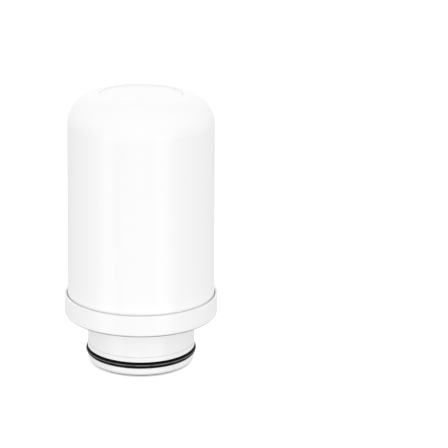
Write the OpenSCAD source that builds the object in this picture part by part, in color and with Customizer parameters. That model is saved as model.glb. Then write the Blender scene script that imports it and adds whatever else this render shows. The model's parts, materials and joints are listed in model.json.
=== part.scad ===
// Plug-in drinking water filter cartridge.
// It plugs neck-down into a tap or in-line filter head. Water enters round the
// outlet tube, crosses the filter element from outside to inside and leaves
// through the outlet tube, past a spring-loaded anti-drip valve.
// Origin: centre of the neck's lower rim. +Z runs along the axis to the dome.

/* [Shell] */
// Height over all
total_h = 94.9; // [88:0.1:125]
// Outer radius of the shell where it leaves the collar
shell_r = 25.45; // [24:0.05:34]
// How much the shell's outer radius shrinks up to the shoulder
shell_draft = 0.55; // [0:0.05:1]
// Wall of the shell
shell_wall = 2.1; // [1.5:0.1:2.8]
// Radius of the rounded shoulder
shoulder_r = 10.4; // [7:0.1:13]
// Depth of the dish on top, at its middle
dish_depth = 1.2; // [0.7:0.1:1.8]
// Height of the step from the rim down into the dish
dish_step = 0.4; // [0.2:0.05:0.6]
// Width of the rounded rim round the dish
dish_rim_w = 0.9; // [0.5:0.1:1.5]

/* [Collar] */
// Outer radius of the collar beyond the shell
collar_step = 1.05; // [0.9:0.05:2]
// Height of the collar
collar_h = 7.5; // [6.5:0.05:11]
// Thickness of the cap's floor
floor_t = 2.4; // [1.6:0.1:3]
// Radius of the collar's top outer edge
collar_top_edge_r = 0.3; // [0.2:0.05:0.5]
// Radius of the collar's lower outer edge
collar_foot_edge_r = 0.85; // [0.3:0.05:1]
// Width of the flash trap between the collar's top and the shell
trap_w = 0.25; // [0.2:0.05:0.5]
// Depth of that flash trap
trap_depth = 1.2; // [0.6:0.1:2]

/* [Neck] */
// Outer radius of the neck
neck_r = 18.5; // [17.5:0.1:22]
// Length of the neck below the collar
neck_h = 17.45; // [16:0.05:24]
// Wall of the neck behind the seal groove
groove_wall = 2.3; // [1.6:0.1:3]
// Radius of the lip's lower outer edge
lip_edge_r = 2.15; // [0.5:0.05:2.4]
// Height of the lip below the seal groove
lip_h = 3.25; // [3:0.05:5]
// Thickness of the neck seal's cord
seal_cord = 2.1; // [1.7:0.1:3]
// How far the neck seal stands out of the neck
seal_stand = 0.65; // [0.4:0.05:0.9]
// Play above and below the seal in its groove
seal_play = 0.1; // [0.05:0.05:0.3]
// Height of the land above the seal groove
land_h = 1.6; // [0.8:0.1:2]
// How far the land stands out of the neck
land_step = 0.15; // [0.05:0.05:0.3]
// Width and depth of the witness line above the land
witness = 0.25; // [0.15:0.05:0.4]

/* [Outlet] */
// Radius of the outlet bore that takes the head's spigot
outlet_r = 4.6; // [3.8:0.1:5]
// Length of the outlet bore
outlet_len = 9; // [7:0.5:10]
// How far the outlet tube stops short of the neck's rim
outlet_inset = 2; // [1:0.5:3]
// Radius of the hole through the web above the outlet bore
web_hole_r = 3.2; // [2.6:0.1:3.6]
// Thickness of that web
web_t = 1.2; // [0.8:0.1:1.6]
// Radius of the valve pocket
pocket_r = 5.4; // [5.2:0.1:6.4]
// Wall of the outlet tube round the valve pocket
tube_wall = 1.2; // [1:0.1:1.6]
// Number of inlet windows, and of ribs between them
window_count = 4; // [3:1:6]
// Half angle of an inlet window in degrees
window_half_angle = 26; // [15:1:28]
// Inner radius of the inlet windows
window_r_in = 8.2; // [8:0.1:9]
// Outer radius of the inlet windows
window_r_out = 13.2; // [11:0.1:14]
// Thickness of the ribs in the neck
rib_t = 1.2; // [0.8:0.1:1.6]
// Height of the ribs in the neck
rib_h = 4.5; // [3:0.5:8]

/* [Strainer] */
// Thickness of the stainless strainer
strainer_t = 0.3; // [0.2:0.05:0.5]
// Radius of a strainer hole
strainer_hole_r = 0.45; // [0.3:0.05:0.6]
// Thickness of the strainer's retainer
retainer_t = 1.2; // [0.8:0.1:2]
// Clearance between the retainer and the hub
retainer_clear = 0.1; // [0.05:0.05:0.3]

/* [Valve] */
// Travel of the poppet
valve_travel = 2; // [1.4:0.1:2.4]
// Thickness of the valve guide
guide_t = 2; // [1.4:0.1:2.4]
// Radius of the poppet's stem
stem_r = 1; // [0.8:0.05:1.3]
// Clearance between the stem and its guide
stem_clear = 0.06; // [0.04:0.01:0.1]
// Radius of the poppet's head
poppet_r = 4; // [3.7:0.05:4.4]
// Thickness of the poppet's head
poppet_t = 1.6; // [1.4:0.1:2]
// Thickness of the poppet seal's cord
poppet_seal_cord = 1.2; // [1:0.1:1.4]
// Height of the spring with the valve closed
spring_h = 5; // [4.5:0.1:6]
// Mean radius of the spring
spring_r = 2.7; // [2.4:0.05:3]
// Thickness of the spring's wire
wire_d = 0.4; // [0.3:0.05:0.5]
// Turns of the spring
spring_turns = 4.5; // [3:0.5:6]
// Height of the valve seat
seat_h = 3; // [2.6:0.1:3.6]
// Radius of the hole through the valve seat
seat_hole_r = 2.2; // [1.8:0.1:2.4]
// Thickness of the valve seat's own seal
seat_seal_cord = 1; // [0.8:0.1:1.2]

/* [Element] */
// Outer radius of the carbon block
block_r = 17; // [15:0.1:17.5]
// Wall of the carbon block
block_wall = 10.5; // [8:0.1:10.5]
// Thickness of the sediment wrap
wrap_t = 1.6; // [1:0.1:1.8]
// Thickness of the outer net
net_t = 0.6; // [0.4:0.1:0.7]
// Thickness of the liner between core and block
liner_t = 0.6; // [0.4:0.1:0.8]
// Wall of the core tube
core_wall = 1.1; // [0.8:0.1:1.4]
// Radius of the core tube's holes
core_hole_r = 1.1; // [0.8:0.1:1.4]
// Thickness of an end cap's disc
cap_disc_t = 2; // [1.5:0.1:2.5]
// Wall of an end cap's rim
cap_rim_wall = 1.2; // [0.9:0.1:1.4]
// Height of an end cap's rim
cap_rim_h = 3.6; // [2.6:0.1:4.5]
// Clearance between the element and an end cap's rim
cap_clear = 0.15; // [0.05:0.05:0.2]
// Thickness of a glue bead
glue_t = 0.8; // [0.5:0.1:1.2]
// Gap between the hub's top and the lower end cap
hub_gap = 0.5; // [0.3:0.1:1]
// Length of the lower end cap's spigot
spigot_len = 6.4; // [5.8:0.1:7.5]
// Clearance between the spigot and the hub
spigot_clear = 0.1; // [0.05:0.01:0.15]
// Radius of the bore through the spigot
spigot_bore_r = 3; // [2.5:0.1:3.2]
// Thickness of the spigot seals' cord
spigot_seal_cord = 1.2; // [1:0.1:1.3]
// Height of the top cushion
cushion_h = 9; // [6:0.5:12]
// Thickness of the top cushion
cushion_wall = 5; // [4:0.1:6]

/* [Hidden] */

// How far a cut runs past a face
cut = 1;
// How far a rib or spoke runs into the walls that it joins
root = 0.3;
// How far a stacked block sinks into the one under it
sink = 0.1;

// Shell
floor_top = neck_h + floor_t;
collar_top = neck_h + collar_h;
collar_r = shell_r + collar_step;
shoulder_wall_r = shell_r - shell_draft;
shoulder_z = total_h - shoulder_r;
shell_slope = shell_draft / (shoulder_z - floor_top);
ring_r = shoulder_wall_r - shoulder_r;
dish_floor_z = total_h - dish_depth;
shell_inner_top = dish_floor_z - shell_wall;
dish_r = ring_r - dish_rim_w / 2;
dish_sag = dish_depth - dish_step;
dish_curve_r = (dish_r * dish_r + dish_sag * dish_sag) / (2 * dish_sag);

// Neck
groove_r = neck_r + seal_stand - seal_cord;
groove_w = seal_cord + 2 * seal_play;
groove_top = lip_h + groove_w;
neck_inner_r = groove_r - groove_wall;
seal_z = lip_h + groove_w / 2;
seal_centre_r = groove_r + seal_cord / 2;

// Outlet
tube_r = pocket_r + tube_wall;
web_z = outlet_inset + outlet_len;
pocket_z = web_z + web_t;

// Valve
stem_hole_r = stem_r + stem_clear;
guide_top = pocket_z + guide_t;
guide_ring_wall = 1;
boss_wall = 0.9;
spoke_w = 1;
spoke_count = 3;
head_z = guide_top + spring_h;
head_top = head_z + poppet_t;
poppet_seal_r = (seat_hole_r + poppet_r) / 2;
poppet_seal_stand = 0.2;
poppet_seal_z = head_top + poppet_seal_stand - poppet_seal_cord / 2;
seat_gap = 0.02;
seat_z = head_top + poppet_seal_stand + seat_gap;
seat_top = seat_z + seat_h;
stem_end_clear = 0.2;
stem_z = web_z + valve_travel + stem_end_clear;
nose_h = 1.4;
nose_r = seat_hole_r - 0.5;
nose_chamfer = 0.9;
nose_tip_r = nose_r - nose_chamfer;
seat_seal_z = seat_z + seat_h / 2;

// Element
hub_top = seat_top + spigot_len;
lower_cap_z = hub_top + hub_gap;
spigot_r = pocket_r - spigot_clear;
spigot_z = seat_top + spigot_clear;
wrap_r = block_r + wrap_t;
net_r = wrap_r + net_t;
cap_r = net_r + cap_clear + cap_rim_wall;
core_r = block_r - block_wall - liner_t;
core_inner_r = core_r - core_wall;
// Clearance between the core tube and the plugs of the end caps
core_clear = 0.1;
element_z = lower_cap_z + cap_disc_t;
cushion_inset = 2.5;
cushion_top = shell_inner_top;
cushion_z = cushion_top - cushion_h;
upper_cap_top = cushion_z;
upper_cap_z = upper_cap_top - cap_disc_t;
block_z = element_z + glue_t;
block_top = upper_cap_z - glue_t;
block_h = block_top - block_z;
cushion_r = ring_r - cushion_inset;
cushion_rib_t = 1.2;
cushion_rib_h = 2.5;
cushion_clear = 0.3;

// Grids of holes and windows
core_hole_pitch = 5;
core_hole_margin = 3;
core_hole_span = block_h - 2 * core_hole_margin;
core_hole_count = floor(core_hole_span / core_hole_pitch);
core_hole_rows = 3;
net_windows = 9;
net_bar = 1;
net_row_pitch = 5;
net_window_w = net_r * PI / net_windows - net_bar;
net_window_h = net_row_pitch - net_bar;
net_rows = floor((block_h - 2 * cap_rim_h - net_bar) / net_row_pitch);
strainer_ring_pitch = 1.3;
strainer_ring_r = window_r_in + strainer_hole_r;
strainer_rings = floor((window_r_out - strainer_hole_r - strainer_ring_r) / strainer_ring_pitch) + 1;
strainer_hole_pitch = 1.6;
strainer_margin = 1.4;
strainer_r = window_r_out + strainer_margin;
retainer_rim_w = 1.8;

$fn = 96;

// An annular block from z up by h
module ring(r_out, r_in, z, h) {
    translate([0, 0, z])
        difference() {
            cylinder(r = r_out, h = h);
            translate([0, 0, -cut]) cylinder(r = r_in, h = h + 2 * cut);
        }
}

// A seal ring of round cord
module seal_ring(centre_r, z, cord) {
    translate([0, 0, z])
        rotate_extrude()
            translate([centre_r, 0]) circle(d = cord, $fn = 48);
}

// The shell's outline from its open end to the rim round the dish, inset by t all round
module shell_outline(t) {
    intersection() {
        union() {
            polygon([
                [0, floor_top],
                [shell_r - t, floor_top],
                [shoulder_wall_r - t, shoulder_z],
                [0, shoulder_z]
            ]);
            translate([0, shoulder_z]) square([ring_r, shoulder_r - t]);
            translate([ring_r, shoulder_z]) circle(r = shoulder_r - t, $fn = 128);
        }
        translate([0, floor_top]) square([shell_r + cut, total_h]);
    }
}

module housing_shell() {
    color("white")
        rotate_extrude($fn = 128)
            difference() {
                shell_outline(0);
                difference() {
                    shell_outline(shell_wall);
                    translate([0, shell_inner_top]) square([ring_r, shell_wall + dish_depth]);
                    // Short ring that keeps the cushion on the axis
                    translate([cushion_r + cushion_clear, shell_inner_top - cushion_rib_h])
                        square([cushion_rib_t, cushion_rib_h + cut]);
                }
                // Concave dish with a step up to its rim
                intersection() {
                    union() {
                        translate([0, total_h - dish_step]) square([dish_r, dish_step + cut]);
                        translate([0, dish_floor_z + dish_curve_r]) circle(r = dish_curve_r, $fn = 512);
                    }
                    translate([-cut, dish_floor_z - cut]) square([dish_r + cut, dish_depth + 2 * cut]);
                }
                translate([-cut, floor_top - cut]) square([cut, total_h]);
            }
}

// The base cap's body of revolution, solid to the axis
module cap_outline() {
    difference() {
        union() {
            // Neck with its lip
            translate([0, lip_edge_r]) square([neck_r, neck_h]);
            square([neck_r - lip_edge_r, lip_edge_r]);
            intersection() {
                translate([neck_r - lip_edge_r, lip_edge_r]) circle(r = lip_edge_r, $fn = 64);
                square([neck_r, lip_h]);
            }
            // Land above the seal groove
            translate([0, groove_top]) square([neck_r + land_step, land_h]);
            // Collar with rounded edges
            translate([0, neck_h + collar_foot_edge_r])
                square([collar_r, collar_h - collar_foot_edge_r - collar_top_edge_r]);
            translate([0, neck_h]) square([collar_r - collar_foot_edge_r, collar_h]);
            translate([0, collar_top - collar_top_edge_r])
                square([collar_r - collar_top_edge_r, collar_top_edge_r]);
            translate([collar_r - collar_foot_edge_r, neck_h + collar_foot_edge_r])
                circle(r = collar_foot_edge_r, $fn = 64);
            translate([collar_r - collar_top_edge_r, collar_top - collar_top_edge_r])
                circle(r = collar_top_edge_r, $fn = 48);
        }
        // Seal groove and the witness line above the land
        translate([groove_r, lip_h]) square([neck_r, groove_w]);
        translate([neck_r - witness, groove_top + land_h]) square([neck_r, witness]);
        // Seat for the shell, with the flash trap at its top
        polygon([
            [0, floor_top],
            [shell_r, floor_top],
            [shell_r - shell_slope * (collar_top + cut - floor_top), collar_top + cut],
            [0, collar_top + cut]
        ]);
        translate([shell_r - cut, collar_top - trap_depth]) square([cut + trap_w, trap_depth + cut]);
        // Inside of the neck
        translate([tube_r, -cut]) square([neck_inner_r - tube_r, neck_h + cut]);
        // Recessed end of the outlet tube
        translate([-cut, -cut]) square([neck_inner_r + cut, outlet_inset + cut]);
        translate([-cut, -cut]) square([cut, total_h]);
    }
    // Hub that takes the valve and the element's spigot
    translate([0, floor_top - sink]) square([tube_r, hub_top - floor_top + sink]);
}

module inlet_window() {
    translate([0, 0, neck_h - cut])
        rotate([0, 0, -window_half_angle])
            rotate_extrude(angle = 2 * window_half_angle)
                translate([window_r_in, 0]) square([window_r_out - window_r_in, floor_t + 2 * cut]);
}

module neck_rib() {
    translate([tube_r - root, -rib_t / 2, neck_h - rib_h])
        cube([neck_inner_r - tube_r + 2 * root, rib_t, rib_h + root]);
}

module base_cap() {
    color("white")
        difference() {
            union() {
                rotate_extrude($fn = 128) cap_outline();
                for (i = [0 : window_count - 1])
                    rotate([0, 0, (i + 0.5) * 360 / window_count]) neck_rib();
            }
            for (i = [0 : window_count - 1])
                rotate([0, 0, i * 360 / window_count]) inlet_window();
            translate([0, 0, outlet_inset - cut]) cylinder(r = outlet_r, h = outlet_len + cut);
            translate([0, 0, web_z - cut]) cylinder(r = web_hole_r, h = web_t + 2 * cut);
            translate([0, 0, pocket_z]) cylinder(r = pocket_r, h = hub_top);
        }
}

module neck_seal_ring() {
    color("#1a1a1a") seal_ring(seal_centre_r, seal_z, seal_cord);
}

module inlet_strainer() {
    color("silver")
        difference() {
            ring(strainer_r, tube_r + retainer_clear, floor_top, strainer_t);
            for (k = [0 : strainer_rings - 1]) {
                hole_ring_r = strainer_ring_r + k * strainer_ring_pitch;
                count = floor(2 * PI * hole_ring_r / strainer_hole_pitch);
                for (i = [0 : count - 1])
                    rotate([0, 0, i * 360 / count])
                        translate([hole_ring_r, 0, floor_top - cut])
                            cylinder(r = strainer_hole_r, h = strainer_t + 2 * cut, $fn = 16);
            }
        }
}

module strainer_retainer() {
    z = floor_top + strainer_t;
    hub_ring_r = window_r_in;
    rim_r = window_r_out + retainer_rim_w;
    color("whitesmoke")
        union() {
            ring(hub_ring_r, tube_r + retainer_clear, z, retainer_t);
            ring(rim_r, window_r_out, z, retainer_t);
            for (i = [0 : window_count - 1])
                rotate([0, 0, (i + 0.5) * 360 / window_count])
                    translate([hub_ring_r - root, -rib_t, z])
                        cube([window_r_out - hub_ring_r + 2 * root, 2 * rib_t, retainer_t]);
        }
}

module valve_guide() {
    boss_r = stem_hole_r + boss_wall;
    color("whitesmoke")
        difference() {
            union() {
                ring(pocket_r, pocket_r - guide_ring_wall, pocket_z, guide_t);
                translate([0, 0, pocket_z]) cylinder(r = boss_r, h = guide_t);
                for (i = [0 : spoke_count - 1])
                    rotate([0, 0, i * 360 / spoke_count])
                        translate([boss_r - root, -spoke_w / 2, pocket_z])
                            cube([pocket_r - guide_ring_wall - boss_r + 2 * root, spoke_w, guide_t]);
            }
            translate([0, 0, pocket_z - cut]) cylinder(r = stem_hole_r, h = guide_t + 2 * cut);
        }
}

// Compression spring: a wire of round section swept up a helix, with closed flat ends
spring_steps = 16;
spring_sides = 8;
function spring_rings() = spring_turns * spring_steps;
// Share of the turns, and of the height, that each flat end takes
spring_end_turns = 0.12;
spring_end_rise = 0.06;
function spring_rise(t) =
    (t < spring_end_turns) ? t / spring_end_turns * spring_end_rise
    : (t > 1 - spring_end_turns) ? 1 - (1 - t) / spring_end_turns * spring_end_rise
    : spring_end_rise + (t - spring_end_turns) / (1 - 2 * spring_end_turns) * (1 - 2 * spring_end_rise);
function spring_point(i, j) =
    let (
        t = i / spring_rings(),
        turn = 360 * spring_turns * t,
        side = 360 * j / spring_sides,
        r = spring_r + wire_d / 2 * cos(side),
        z = guide_top + wire_d / 2 + (spring_h - wire_d) * spring_rise(t) + wire_d / 2 * sin(side)
    )
    [r * cos(turn), r * sin(turn), z];

function ring_start(i) = i * spring_sides;

module valve_spring() {
    points = [for (i = [0 : spring_rings()]) for (j = [0 : spring_sides - 1]) spring_point(i, j)];
    walls = [
        for (i = [0 : spring_rings() - 1]) for (j = [0 : spring_sides - 1])
            let (k = (j + 1) % spring_sides)
            [ring_start(i) + j, ring_start(i + 1) + j, ring_start(i + 1) + k, ring_start(i) + k]
    ];
    first = [for (j = [0 : spring_sides - 1]) j];
    last = [for (j = [spring_sides - 1 : -1 : 0]) ring_start(spring_rings()) + j];
    color("silver") polyhedron(points, concat(walls, [first, last]), convexity = 10);
}

module valve_poppet() {
    color("whitesmoke")
        rotate_extrude()
            difference() {
                union() {
                    translate([0, stem_z]) square([stem_r, head_z - stem_z]);
                    translate([0, head_z]) square([poppet_r, poppet_t]);
                    polygon([
                        [0, head_top],
                        [nose_r, head_top],
                        [nose_r, head_top + nose_h - nose_chamfer],
                        [nose_tip_r, head_top + nose_h],
                        [0, head_top + nose_h]
                    ]);
                }
                translate([poppet_seal_r, poppet_seal_z]) circle(d = poppet_seal_cord, $fn = 48);
                translate([poppet_seal_r - poppet_seal_cord / 2, poppet_seal_z])
                    square([poppet_seal_cord, poppet_seal_cord]);
            }
}

module poppet_seal() {
    color("#1a1a1a") seal_ring(poppet_seal_r, poppet_seal_z, poppet_seal_cord);
}

module valve_seat() {
    color("whitesmoke")
        difference() {
            ring(pocket_r, seat_hole_r, seat_z, seat_h);
            ring(pocket_r + cut, pocket_r - seat_seal_cord, seat_seal_z - seat_seal_cord / 2, seat_seal_cord);
        }
}

module valve_seat_seal() {
    color("#1a1a1a") seal_ring(pocket_r - seat_seal_cord / 2, seat_seal_z, seat_seal_cord);
}

// The two places of the spigot's seals
spigot_seal_share = 0.3;
spigot_seal_places = [for (share = [spigot_seal_share, 1 - spigot_seal_share]) spigot_z + spigot_len * share];

module spigot_seals() {
    color("#1a1a1a")
        for (z = spigot_seal_places)
            seal_ring(pocket_r - spigot_seal_cord / 2, z, spigot_seal_cord);
}

module lower_end_cap() {
    color("whitesmoke")
        difference() {
            union() {
                translate([0, 0, spigot_z]) cylinder(r = spigot_r, h = element_z - spigot_z);
                translate([0, 0, lower_cap_z]) cylinder(r = cap_r, h = cap_disc_t);
                ring(cap_r, cap_r - cap_rim_wall, element_z - sink, cap_rim_h + sink);
                translate([0, 0, element_z]) cylinder(r = core_inner_r - core_clear, h = cap_rim_h);
            }
            translate([0, 0, spigot_z - cut])
                cylinder(r = spigot_bore_r, h = element_z + cap_rim_h - spigot_z + 2 * cut);
            for (z = spigot_seal_places)
                ring(pocket_r + cut, pocket_r - spigot_seal_cord, z - spigot_seal_cord / 2, spigot_seal_cord);
        }
}

module core_tube() {
    color("whitesmoke")
        difference() {
            ring(core_r, core_inner_r, element_z, upper_cap_z - element_z);
            for (k = [0 : core_hole_count - 1]) {
                z = block_z + core_hole_margin + (k + 0.5) * core_hole_span / core_hole_count;
                for (i = [0 : core_hole_rows - 1])
                    rotate([0, 0, (i + 0.5 * (k % 2)) * 180 / core_hole_rows])
                        translate([-core_r - cut, 0, z])
                            rotate([0, 90, 0]) cylinder(r = core_hole_r, h = 2 * (core_r + cut), $fn = 24);
            }
        }
}

module core_liner() {
    color("white") ring(core_r + liner_t, core_r, block_z, block_h);
}

module carbon_block() {
    color("#262626") ring(block_r, block_r - block_wall, block_z, block_h);
}

module sediment_wrap() {
    color("#f2f2ec") ring(wrap_r, block_r, block_z, block_h);
}

module outer_netting() {
    color("white")
        difference() {
            ring(net_r, wrap_r, block_z, block_h);
            for (k = [0 : net_rows - 1]) {
                z = block_z + block_h / 2 + (k + 0.5 - net_rows / 2) * net_row_pitch;
                for (i = [0 : net_windows - 1])
                    rotate([0, 0, i * 180 / net_windows])
                        translate([-net_r - cut, -net_window_w / 2, z - net_window_h / 2])
                            cube([2 * (net_r + cut), net_window_w, net_window_h]);
            }
        }
}

module lower_glue_bead() {
    color("ivory") ring(net_r, core_r, element_z, glue_t);
}

module upper_glue_bead() {
    color("ivory") ring(net_r, core_r, block_top, glue_t);
}

module upper_end_cap() {
    color("whitesmoke")
        union() {
            translate([0, 0, upper_cap_z]) cylinder(r = cap_r, h = cap_disc_t);
            ring(cap_r, cap_r - cap_rim_wall, upper_cap_z - cap_rim_h, cap_rim_h + sink);
            translate([0, 0, upper_cap_z - cap_rim_h])
                cylinder(r = core_inner_r - core_clear, h = cap_rim_h + sink);
        }
}

module top_cushion() {
    color("#d8dde0") ring(cushion_r, cushion_r - cushion_wall, cushion_z, cushion_h);
}

housing_shell();
base_cap();
neck_seal_ring();
inlet_strainer();
strainer_retainer();
valve_guide();
valve_spring();
valve_poppet();
poppet_seal();
valve_seat();
valve_seat_seal();
lower_end_cap();
spigot_seals();
core_tube();
core_liner();
carbon_block();
sediment_wrap();
outer_netting();
lower_glue_bead();
upper_glue_bead();
upper_end_cap();
top_cushion();
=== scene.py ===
import json
import math
import random

import bmesh
import bpy
from mathutils import Matrix, Vector


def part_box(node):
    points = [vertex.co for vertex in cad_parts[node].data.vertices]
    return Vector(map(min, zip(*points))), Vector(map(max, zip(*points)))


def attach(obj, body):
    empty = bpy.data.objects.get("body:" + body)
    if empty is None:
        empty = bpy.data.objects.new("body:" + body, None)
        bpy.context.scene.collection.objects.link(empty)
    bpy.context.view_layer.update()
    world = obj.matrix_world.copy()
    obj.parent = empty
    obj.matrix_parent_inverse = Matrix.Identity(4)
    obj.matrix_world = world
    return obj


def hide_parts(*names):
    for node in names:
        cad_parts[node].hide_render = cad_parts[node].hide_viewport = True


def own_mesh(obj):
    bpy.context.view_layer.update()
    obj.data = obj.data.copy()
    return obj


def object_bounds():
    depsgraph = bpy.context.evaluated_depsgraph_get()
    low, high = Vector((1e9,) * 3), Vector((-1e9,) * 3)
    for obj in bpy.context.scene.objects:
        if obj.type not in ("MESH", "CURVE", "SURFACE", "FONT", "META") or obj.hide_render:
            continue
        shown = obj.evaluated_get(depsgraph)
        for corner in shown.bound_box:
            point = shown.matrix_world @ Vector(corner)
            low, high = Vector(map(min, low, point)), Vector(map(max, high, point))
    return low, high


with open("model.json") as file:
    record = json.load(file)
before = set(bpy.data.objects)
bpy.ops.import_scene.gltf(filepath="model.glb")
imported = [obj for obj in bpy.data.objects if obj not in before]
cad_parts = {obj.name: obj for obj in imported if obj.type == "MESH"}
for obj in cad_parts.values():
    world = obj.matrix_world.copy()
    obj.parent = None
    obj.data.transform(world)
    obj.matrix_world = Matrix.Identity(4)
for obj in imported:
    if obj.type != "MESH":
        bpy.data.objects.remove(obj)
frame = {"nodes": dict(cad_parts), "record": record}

cad_low, cad_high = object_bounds()

# ---------------------------------------------------------------------------
# Camera: a long lens a little above the cartridge. It is turned aside, so the
# cartridge stands left of the middle with its axis upright.
AIM_HEIGHT = 0.0491
CAMERA_DISTANCE = 0.600
CAMERA_ELEVATION = math.radians(17.07)
CAMERA_TURN = math.radians(2.71)
LENS_LENGTH = 140.6
FILM_WIDTH = 36.0
CLIP_NEAR, CLIP_FAR = 0.01, 20.0

camera_data = bpy.data.cameras.new("camera")
camera_data.lens = LENS_LENGTH
camera_data.sensor_width = FILM_WIDTH
camera_data.clip_start = CLIP_NEAR
camera_data.clip_end = CLIP_FAR
camera = bpy.data.objects.new("camera", camera_data)
bpy.context.collection.objects.link(camera)
camera.location = (
    0.0,
    -CAMERA_DISTANCE * math.cos(CAMERA_ELEVATION),
    AIM_HEIGHT + CAMERA_DISTANCE * math.sin(CAMERA_ELEVATION),
)
look_down = Matrix.Rotation(math.pi / 2 - CAMERA_ELEVATION, 4, "X")
look_aside = Matrix.Rotation(-CAMERA_TURN, 4, "Y")
camera.rotation_euler = (look_down @ look_aside).to_euler()
bpy.context.scene.camera = camera
bpy.context.scene.view_settings.view_transform = "Standard"

# ---------------------------------------------------------------------------
# Table: a wide white light table, matt, with a faint grain. It glows, and the
# light that the cartridge gets from below is the studio's own.
TABLE_RADIUS = 4.0
TABLE_SIDES = 96
TABLE_COLOUR = (0.95, 0.95, 0.95, 1.0)
TABLE_GRAIN = (0.97, 0.97, 0.97, 1.0)
TABLE_ROUGHNESS = 0.9
TABLE_GLOSS = 0.1
TABLE_GLOW = 0.45


def shader_tree(name):
    """A new material, its nodes, its links and its main shader."""
    made = bpy.data.materials.new(name)
    made.use_nodes = True
    nodes = made.node_tree.nodes
    return made, nodes, made.node_tree.links, nodes["Principled BSDF"]


def object_pattern(nodes, links, kind, stretch=(1.0, 1.0, 1.0), **settings):
    """A texture node read from the piece's own coordinates, stretched along its axes."""
    place = nodes.new("ShaderNodeTexCoord")
    spread = nodes.new("ShaderNodeMapping")
    spread.inputs["Scale"].default_value = stretch
    pattern = nodes.new(kind)
    links.new(place.outputs["Object"], spread.inputs["Vector"])
    links.new(spread.outputs["Vector"], pattern.inputs["Vector"])
    for name, value in settings.items():
        pattern.inputs[name.replace("_", " ")].default_value = value
    return pattern


def between(nodes, links, source, low, high, start=0.0, end=1.0):
    """Turns a 0 to 1 pattern into a number from low to high."""
    turn = nodes.new("ShaderNodeMapRange")
    turn.inputs["From Min"].default_value = start
    turn.inputs["From Max"].default_value = end
    turn.inputs["To Min"].default_value = low
    turn.inputs["To Max"].default_value = high
    links.new(source, turn.inputs["Value"])
    return turn.outputs["Result"]


def mixed(nodes, links, share, first, second):
    """Mixes two colours, each a socket or a colour, by a 0 to 1 value."""
    mix = nodes.new("ShaderNodeMix")
    mix.data_type = "RGBA"
    links.new(share, mix.inputs["Factor"])
    for name, colour in (("A", first), ("B", second)):
        if isinstance(colour, tuple):
            mix.inputs[name].default_value = colour
        else:
            links.new(colour, mix.inputs[name])
    return mix.outputs["Result"]


def raised(nodes, links, shader, source, height, under=None):
    """Gives the shader a bump of that height in metres, on top of the bump under it."""
    bump = nodes.new("ShaderNodeBump")
    bump.inputs["Distance"].default_value = height
    bump.inputs["Strength"].default_value = 1.0
    links.new(source, bump.inputs["Height"])
    if under is not None:
        links.new(under.outputs["Normal"], bump.inputs["Normal"])
    links.new(bump.outputs["Normal"], shader.inputs["Normal"])
    return bump


table_paper, nodes, links, shader = shader_tree("table_paper")
grain = object_pattern(nodes, links, "ShaderNodeTexNoise", Scale=900.0, Detail=3.0)
links.new(
    mixed(nodes, links, grain.outputs["Fac"], TABLE_COLOUR, TABLE_GRAIN),
    shader.inputs["Base Color"],
)
shader.inputs["Roughness"].default_value = TABLE_ROUGHNESS
shader.inputs["Specular IOR Level"].default_value = TABLE_GLOSS
shader.inputs["Emission Color"].default_value = (1.0, 1.0, 1.0, 1.0)
shader.inputs["Emission Strength"].default_value = TABLE_GLOW

sheet = bmesh.new()
bmesh.ops.create_circle(sheet, cap_ends=True, segments=TABLE_SIDES, radius=TABLE_RADIUS)
table_mesh = bpy.data.meshes.new("table")
sheet.to_mesh(table_mesh)
sheet.free()
table_mesh.materials.append(table_paper)
table = bpy.data.objects.new("table", table_mesh)
bpy.context.collection.objects.link(table)
table.location.z = cad_low.z
table.visible_diffuse = False
table.visible_glossy = False
table.visible_shadow = False

# ---------------------------------------------------------------------------
# Studio: a white tent, brightest overhead and dark underneath. A white card lies
# low in front and another stands behind. A tall soft box stands on each side of
# the camera, and a weak one hangs overhead.
CARD_DIRECTION = (0.05, -0.90, -0.42)
CARD_TIGHTNESS = 4.0
CARD_LEVEL = 0.48
BACK_DIRECTION = (0.0, 0.95, 0.30)
BACK_TIGHTNESS = 6.0
BACK_LEVEL = 0.20
TENT_LEVEL = 0.825
TENT_LEAN = (0.0, 0.0, 0.20)
UNDER_LEVEL = 0.0
UNDER_START, UNDER_END = -0.88, -0.64
SIDE_BOX_SIZE = (0.36, 0.85)
SIDE_BOX_AIM = (0.0, 0.0, 0.02)
LEFT_BOX_PLACE, LEFT_BOX_POWER = (-0.66, -0.46, -0.22), 0.84
RIGHT_BOX_PLACE, RIGHT_BOX_POWER = (0.46, -0.66, -0.22), 0.82
TOP_BOX_SIZE = (0.50, 0.50)
TOP_BOX_AIM = (0.0, 0.0, 0.05)
TOP_BOX_PLACE, TOP_BOX_POWER = (0.0, 0.10, 0.80), 0.22

world = bpy.data.worlds.new("white_tent")
bpy.context.scene.world = world
world.use_nodes = True
nodes, links = world.node_tree.nodes, world.node_tree.links


def worked_out(nodes, links, kind, first, second):
    """Works out one number from two, each a socket or a number."""
    made = nodes.new("ShaderNodeMath")
    made.operation = kind
    for socket, value in zip(made.inputs, (first, second)):
        if isinstance(value, float):
            socket.default_value = value
        else:
            links.new(value, socket)
    return made.outputs["Value"]


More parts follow.
